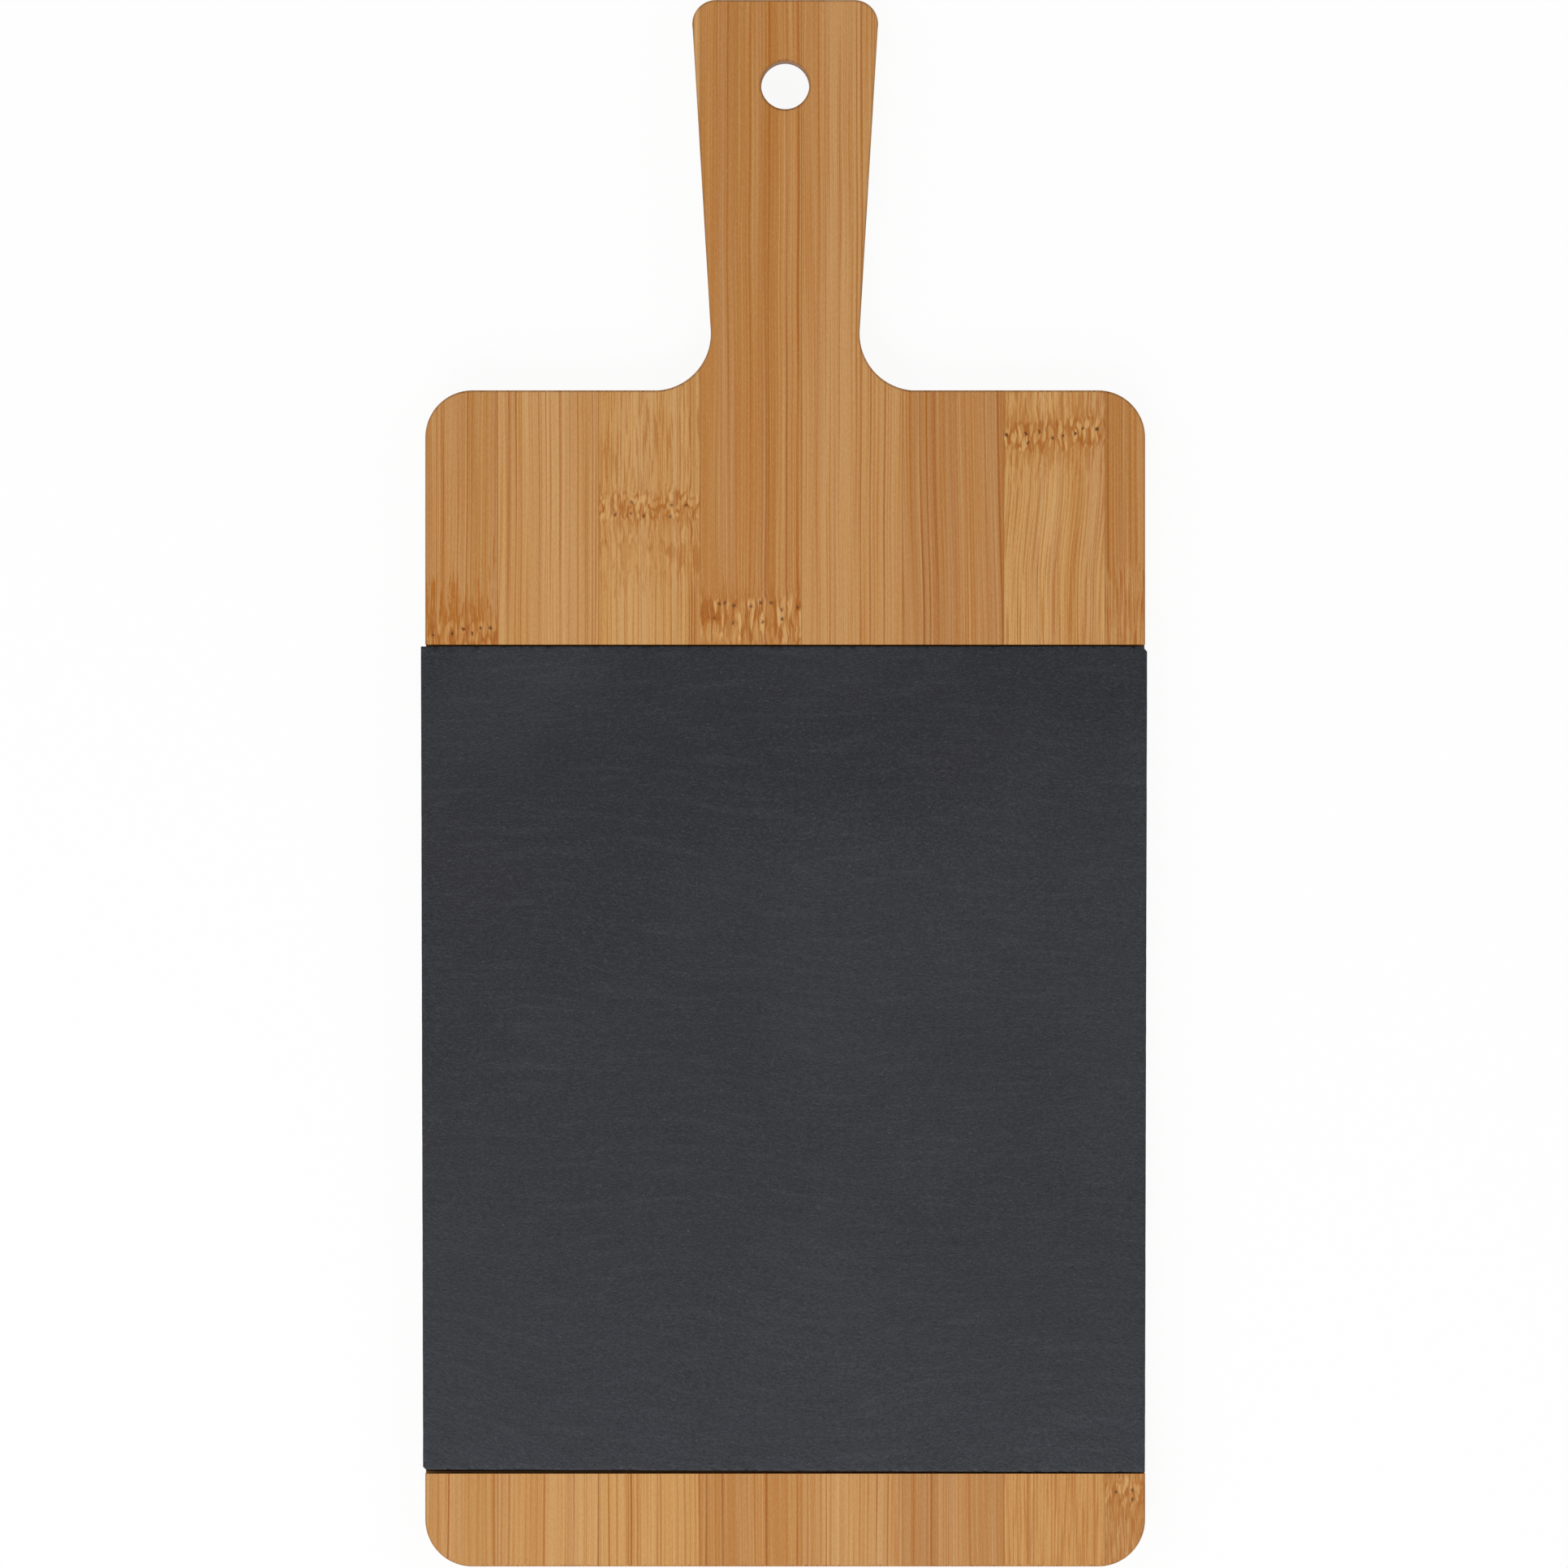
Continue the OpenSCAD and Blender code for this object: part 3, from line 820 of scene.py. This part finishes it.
def edge_gap(place):
    """How far a place on the slab is from its nearest side."""
    down = (HEAD_LEFT[1] - place.y) / (HEAD_LEFT[1] - FOOT_LEFT[1])
    left = HEAD_LEFT[0] + down * (FOOT_LEFT[0] - HEAD_LEFT[0])
    right = HEAD_RIGHT[0] + down * (FOOT_RIGHT[0] - HEAD_RIGHT[0])
    over = (place.x - FOOT_LEFT[0]) / (FOOT_RIGHT[0] - FOOT_LEFT[0])
    foot = FOOT_LEFT[1] + over * (FOOT_RIGHT[1] - FOOT_LEFT[1])
    return min(place.x - left, right - place.x, HEAD_LEFT[1] - place.y, place.y - foot)


def wear(piece, name, direction, strength, grain, weights, peaks=None):
    """Sinks the weighted vertices by up to the strength, in a cloudy pattern, or only at its peaks."""
    group = piece.vertex_groups.new(name=name)
    for index, weight in weights.items():
        group.add([index], weight, "REPLACE")
    clouds = bpy.data.textures.new(name, "CLOUDS")
    clouds.noise_scale = grain * MM
    clouds.noise_depth = 2
    if peaks:
        clouds.use_color_ramp = True
        stops = clouds.color_ramp.elements
        for stop, position, colour in zip(stops, peaks, ((1, 1, 1, 1), (0, 0, 0, 1))):
            stop.position = position
            stop.color = colour
    sunk = piece.modifiers.new(name, "DISPLACE")
    sunk.texture = clouds
    sunk.texture_coords = "LOCAL"
    sunk.direction = direction
    sunk.mid_level = 1.0
    sunk.strength = strength * MM
    sunk.vertex_group = name
    bpy.ops.object.modifier_apply(modifier=name)


def model_slab():
    """The slate: a slab a little out of square, with two worn corners and all its fine wear."""
    corners = ((-1, 1, HEAD_LEFT), (1, 1, HEAD_RIGHT), (-1, -1, FOOT_LEFT), (1, -1, FOOT_RIGHT))
    bpy.ops.object.select_all(action="DESELECT")
    bpy.ops.mesh.primitive_plane_add(size=2 * MM, location=(0, 0, SLAB_TOP * MM))
    slab = bpy.context.object
    slab.name = "slate_slab_honed"
    bpy.ops.object.transform_apply(location=True, rotation=True, scale=True)
    bpy.ops.object.mode_set(mode="EDIT")
    for side_x, side_y, corner in corners:
        pick(slab, "verts", lambda v: v.x * side_x > 0 and v.y * side_y > 0)
        bpy.ops.transform.translate(value=((corner[0] - side_x) * MM, (corner[1] - side_y) * MM, 0))

    # Faces of about 1.5 mm, and a third of that along the rim
    fine_rim = 1.8
    bpy.ops.mesh.select_all(action="SELECT")
    bpy.ops.mesh.subdivide(number_cuts=9)
    bpy.ops.mesh.subdivide(number_cuts=11)
    pick(slab, "faces", lambda f: edge_gap(f) < fine_rim)
    bpy.ops.mesh.subdivide(number_cuts=2)

    # The worn corners
    cut_all((HEAD_RIGHT[0] - HEAD_RIGHT_WORN, HEAD_RIGHT[1], 0), (1, 1, 0), drop_outside=True)
    cut_all((FOOT_LEFT[0] + FOOT_LEFT_WORN, FOOT_LEFT[1], 0), (-1, -1, 0), drop_outside=True)
    merge_doubles(0.02)
    bpy.ops.object.mode_set(mode="OBJECT")

    # Its thickness, a fine bevel, and rows down the sides
    solid = slab.modifiers.new("thickness", "SOLIDIFY")
    solid.thickness = SLAB_T * MM
    solid.offset = -1
    bpy.ops.object.modifier_apply(modifier="thickness")
    bevel = slab.modifiers.new("arris", "BEVEL")
    bevel.width = 0.22 * MM
    bevel.segments = 2
    bevel.limit_method = "ANGLE"
    bevel.angle_limit = math.radians(50)
    bpy.ops.object.modifier_apply(modifier="arris")
    bpy.ops.object.mode_set(mode="EDIT")
    for level in (7.9, 8.9, 9.9, 10.9, 11.4):
        cut_all((0, 0, level), (0, 0, 1))
    merge_doubles(0.01)

    # Where fine rows meet coarse ones, faces have many sides, and some of those have three corners in line
    bpy.ops.mesh.select_mode(type="FACE")
    bpy.ops.mesh.select_face_by_sides(number=4, type="GREATER")
    bpy.ops.mesh.quads_convert_to_tris(ngon_method="BEAUTY")
    bpy.ops.object.mode_set(mode="OBJECT")

    # The face dips a little, the sawn sides are rough, and the rim is chipped, most at the head's right
    chip_reach = 0.9
    chip_depth = 0.8
    face = {}
    sides = {}
    rim = {}
    for vertex in slab.data.vertices:
        place = vertex.co / MM
        gap = edge_gap(place)
        if place.z > SLAB_TOP - 0.25:
            face[vertex.index] = 1.0
        if gap < 0.3 and place.z > SLAB_TOP - SLAB_T + 0.3:
            sides[vertex.index] = 1.0
        if gap < chip_reach and place.z > SLAB_TOP - chip_depth:
            chipped = place.y > 33 and 62 < place.x < 88
            rim[vertex.index] = (1.0 if chipped else 0.5) * (1 - gap / 1.2)
    wear(slab, "dips", "Z", strength=0.22, grain=26, weights=face)
    wear(slab, "pits", "Z", strength=0.05, grain=3, weights=face)
    wear(slab, "sawn", "NORMAL", strength=0.08, grain=4, weights=sides)
    wear(slab, "chips", "Z", strength=chip_depth, grain=2.0, weights=rim, peaks=(0.54, 0.66))
    bpy.ops.object.shade_smooth_by_angle(angle=math.radians(35))

    coat(slab, slate_honed())
    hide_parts("slate_slab")
    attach(slab, "root")


def main():
    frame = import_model()
    nodes = frame["nodes"]
    bpy.context.scene.view_settings.view_transform = "Standard"
    add_camera()
    add_studio()
    dress_bamboo(nodes)
    coat(nodes["slate_adhesive"], adhesive_cured())
    model_slab()


main()
